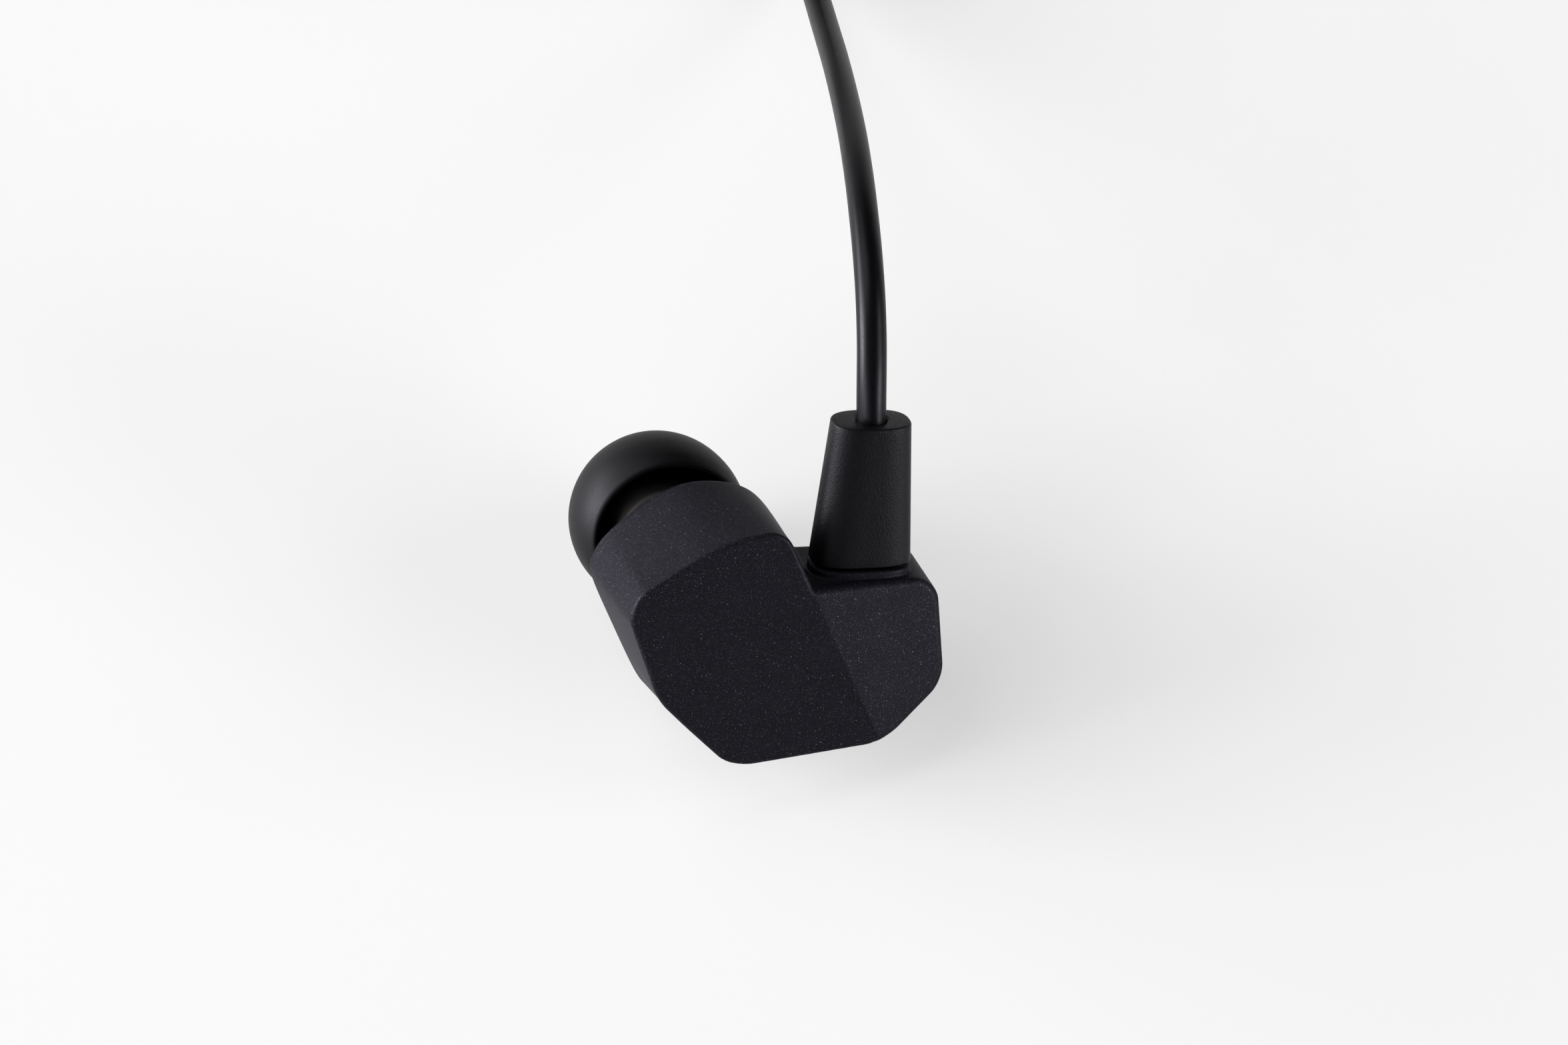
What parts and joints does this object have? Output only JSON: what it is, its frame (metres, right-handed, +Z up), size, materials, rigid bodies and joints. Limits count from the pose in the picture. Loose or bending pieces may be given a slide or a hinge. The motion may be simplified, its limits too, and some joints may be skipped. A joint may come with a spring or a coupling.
{
  "type": "in-ear monitor",
  "caption": "Faceted black in-ear monitor with a soft ear tip, moving-coil driver, plug-in cable connector, and a coiled, tied cable that ends in an audio plug.",
  "frame": {"origin": "on the table, under the middle of the earpiece as it lies face up", "axes": "+Z up, +X to the right across the face, +Y away from the viewer towards the cable's coil"},
  "size_m": [0.0406, 0.1255, 0.0252],
  "materials": {
    "casing": "satin black with fine pale specks",
    "connector_resin": "black, moulded leather-like grain",
    "cable_jacket": "smooth satin black",
    "silicone": "soft matte black",
    "silicone_core": "soft matte dark brown-grey",
    "brass": "turned",
    "gold_plate": "polished gold plate",
    "steel": "plain",
    "magnet": "nickel plated",
    "film": "thin satin film",
    "copper": "enamelled copper wire",
    "paper": "porous paper",
    "foam": "open foam",
    "board": "green circuit board",
    "wire_red": "smooth",
    "wire_black": "smooth",
    "socket_resin": "black moulded",
    "hook_tape": "black hook-and-loop tape"
  },
  "bodies": {
    "eartip": {"eartip_dome": "silicone", "eartip_core": "silicone_core"},
    "housing": {"rear_shell": "casing", "front_cover": "casing", "vent_mesh": "steel", "nozzle": "brass", "nozzle_mesh": "steel", "nozzle_damper": "foam", "terminal_board": "board", "magnet_yoke": "steel", "magnet": "magnet", "top_plate": "steel", "driver_frame": "brass", "damping_paper": "paper", "driver_cap": "brass", "driver_gasket": "foam", "driver_wire_left": "wire_red", "driver_wire_right": "wire_black", "socket_body": "socket_resin", "socket_contact_left": "gold_plate", "socket_contact_right": "gold_plate"},
    "moving_coil": {"diaphragm": "film", "voice_coil": "copper"},
    "cable": {"connector_shell": "connector_resin", "connector_insert": "socket_resin", "connector_pin_left": "gold_plate", "connector_pin_right": "gold_plate", "cable_lead": "cable_jacket", "cable_coil": "cable_jacket", "cable_tie": "hook_tape", "cable_tail": "cable_jacket", "plug_relief": "cable_jacket", "plug_barrel": "connector_resin", "plug_sleeve": "gold_plate", "plug_insulator_rear": "socket_resin", "plug_ring": "gold_plate", "plug_insulator_front": "socket_resin", "plug_tip": "gold_plate"}
  },
  "joints": [
    {"name": "eartip_pull", "type": "slide", "parent": "eartip", "child": "housing", "axis": [0.256, -0.7833, 0.5664], "range_m": [0, 0.008]},
    {"name": "connector_unplug", "type": "slide", "parent": "housing", "child": "cable", "axis": [0.076, 0.6004, 0.796], "range_m": [0, 0.005]},
    {"name": "diaphragm_travel", "type": "slide", "parent": "housing", "child": "moving_coil", "axis": [-0.256, 0.7833, -0.5664], "range_m": [-0.00015, 0.00015], "stiffness_N_per_m": 80}
  ]
}
